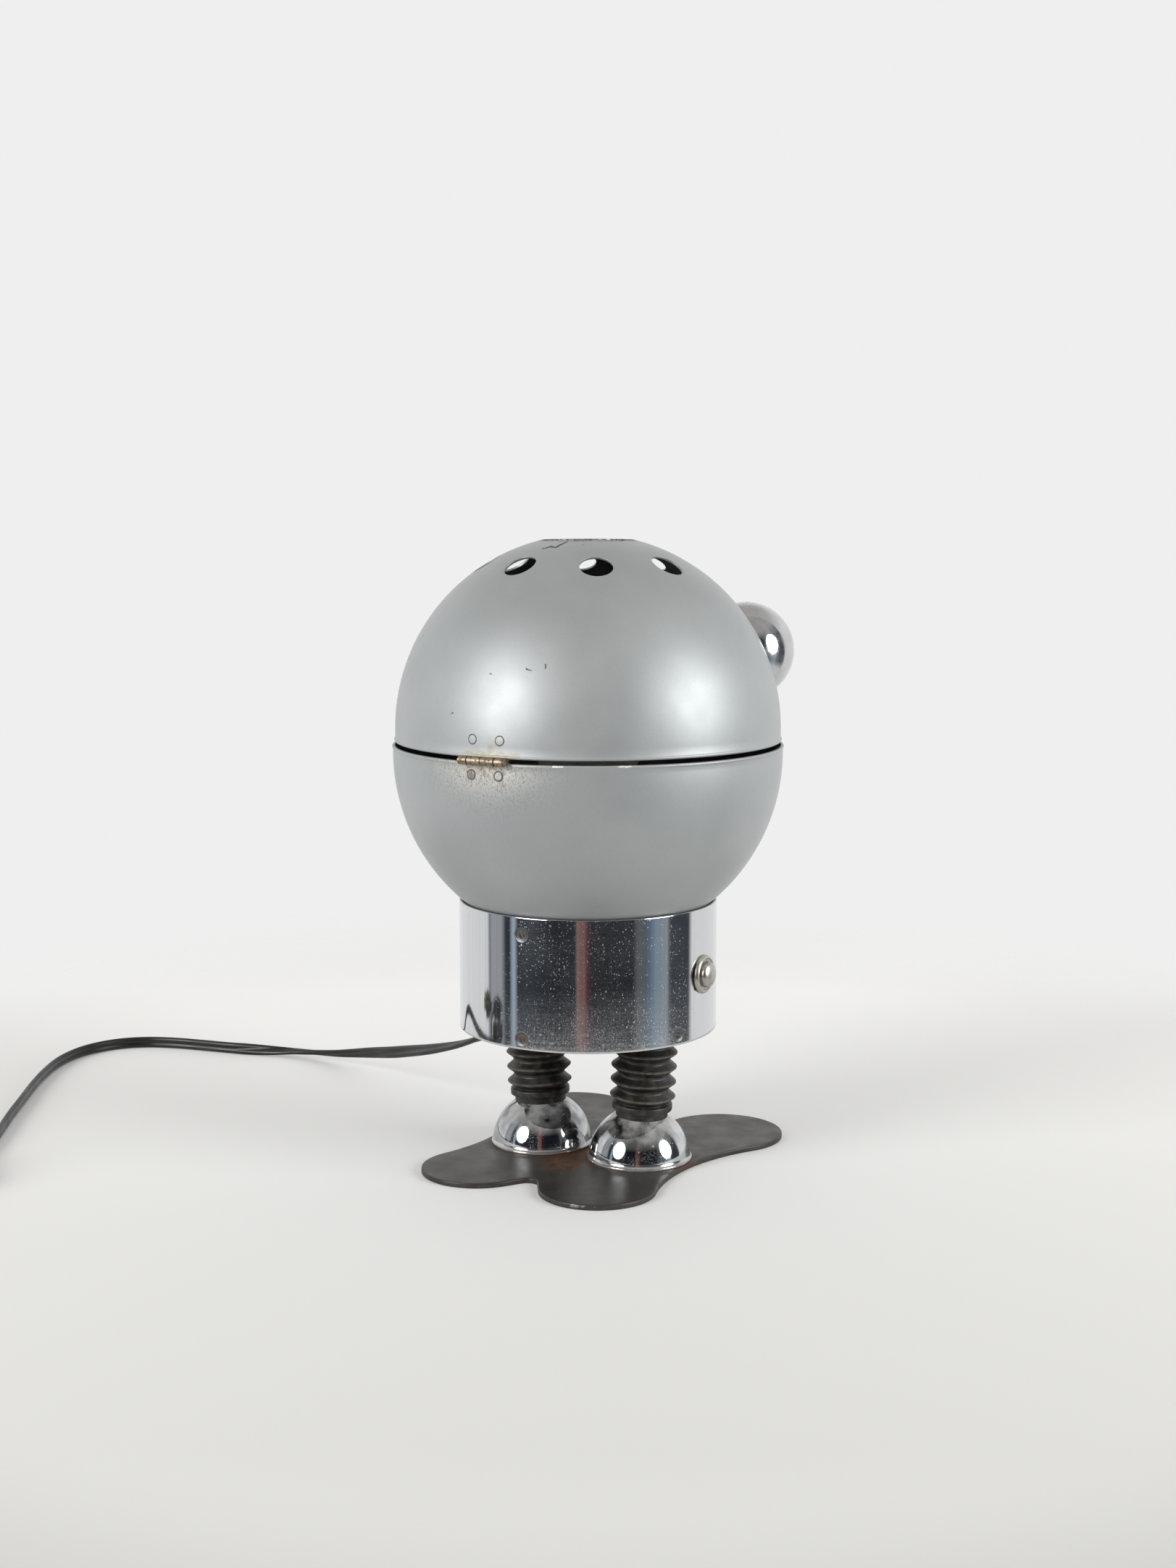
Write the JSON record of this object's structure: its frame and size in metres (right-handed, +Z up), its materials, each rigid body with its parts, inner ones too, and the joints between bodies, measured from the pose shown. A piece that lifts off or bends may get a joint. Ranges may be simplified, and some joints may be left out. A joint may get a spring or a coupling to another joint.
{
  "type": "robot shaped desk lamp",
  "caption": "Desk lamp shaped like a robot: ball head hinged at the back, chromed tube body with a push button, legs in rubber bellows, one foot plate and a flat cord.",
  "frame": {"origin": "on the surface the lamp stands on, under the body's axis", "axes": "+Z up, the robot faces -Y, its hinge is at +Y, its left is +X and its right, with the button, is -X"},
  "size_m": [0.3651, 0.2781, 0.2419],
  "materials": {
    "satin_black_steel": "worn satin black paint on steel",
    "chrome_plate": "chrome plating",
    "zinc_steel": "bright zinc plated steel",
    "bellows_rubber": "dusty black rubber",
    "silver_lacquer": "silver grey metallic lacquer",
    "brass": "aged brass",
    "phenolic": "black moulded phenolic",
    "porcelain": "glazed white porcelain",
    "frosted_glass": "frosted glass",
    "lead_brown": "brown core insulation",
    "lead_blue": "blue core insulation",
    "cord_plastic": "dark brown flexible plastic",
    "tie_plastic": "white plastic band"
  },
  "bodies": {
    "base": {"foot_plate": "satin_black_steel", "foot_screws": "zinc_steel", "ankle_dome_left": "chrome_plate", "ankle_dome_right": "chrome_plate", "ankle_nuts": "zinc_steel", "leg_rod_left": "zinc_steel", "leg_rod_right": "zinc_steel", "bellows_left": "bellows_rubber", "bellows_right": "bellows_rubber", "leg_washers": "zinc_steel", "leg_nuts": "zinc_steel", "base_plate": "satin_black_steel", "base_plate_screws": "zinc_steel", "body_shell": "chrome_plate", "head_bracket": "zinc_steel", "bracket_screws": "zinc_steel", "lower_head_shell": "silver_lacquer", "rim_rests": "silver_lacquer", "bracket_spacer": "zinc_steel", "nipple": "brass", "nipple_nuts": "brass", "nipple_washer": "zinc_steel", "holder_cap": "phenolic", "holder_insert": "porcelain", "holder_contact": "brass", "holder_thread": "brass", "holder_sleeve": "phenolic", "bulb_cap": "brass", "bulb_insulator": "phenolic", "bulb_glass": "frosted_glass", "hinge_leaf_lower": "brass", "hinge_pin": "brass", "hinge_rivets_lower": "zinc_steel", "switch_housing": "phenolic", "switch_terminals": "brass", "switch_bush": "zinc_steel", "switch_bezel": "chrome_plate", "switch_nut": "zinc_steel", "lead_live": "lead_brown", "lead_switched": "lead_brown", "lead_neutral": "lead_blue", "cord_bush": "bellows_rubber", "cord_end": "cord_plastic", "mains_cord": "cord_plastic", "cord_coil": "cord_plastic", "cord_tie": "tie_plastic", "cord_tail": "cord_plastic", "plug_body": "cord_plastic", "plug_blades": "brass"},
    "head_top": {"upper_head_shell": "silver_lacquer", "hinge_leaf_upper": "brass", "hinge_rivets_upper": "zinc_steel", "eye_left": "chrome_plate", "eye_right": "chrome_plate", "eye_nuts": "zinc_steel"},
    "button": {"switch_button": "chrome_plate"}
  },
  "joints": [
    {"name": "head_hinge", "type": "hinge", "parent": "base", "child": "head_top", "pos_m": [0, 0.0769, 0.16469], "axis": [-1, 0, 0], "range_deg": [0, 95]},
    {"name": "switch_button", "type": "slide", "parent": "base", "child": "button", "axis": [1, 0, 0], "range_m": [0, 0.002], "stiffness_N_per_m": 600, "springref_m": -0.001}
  ]
}
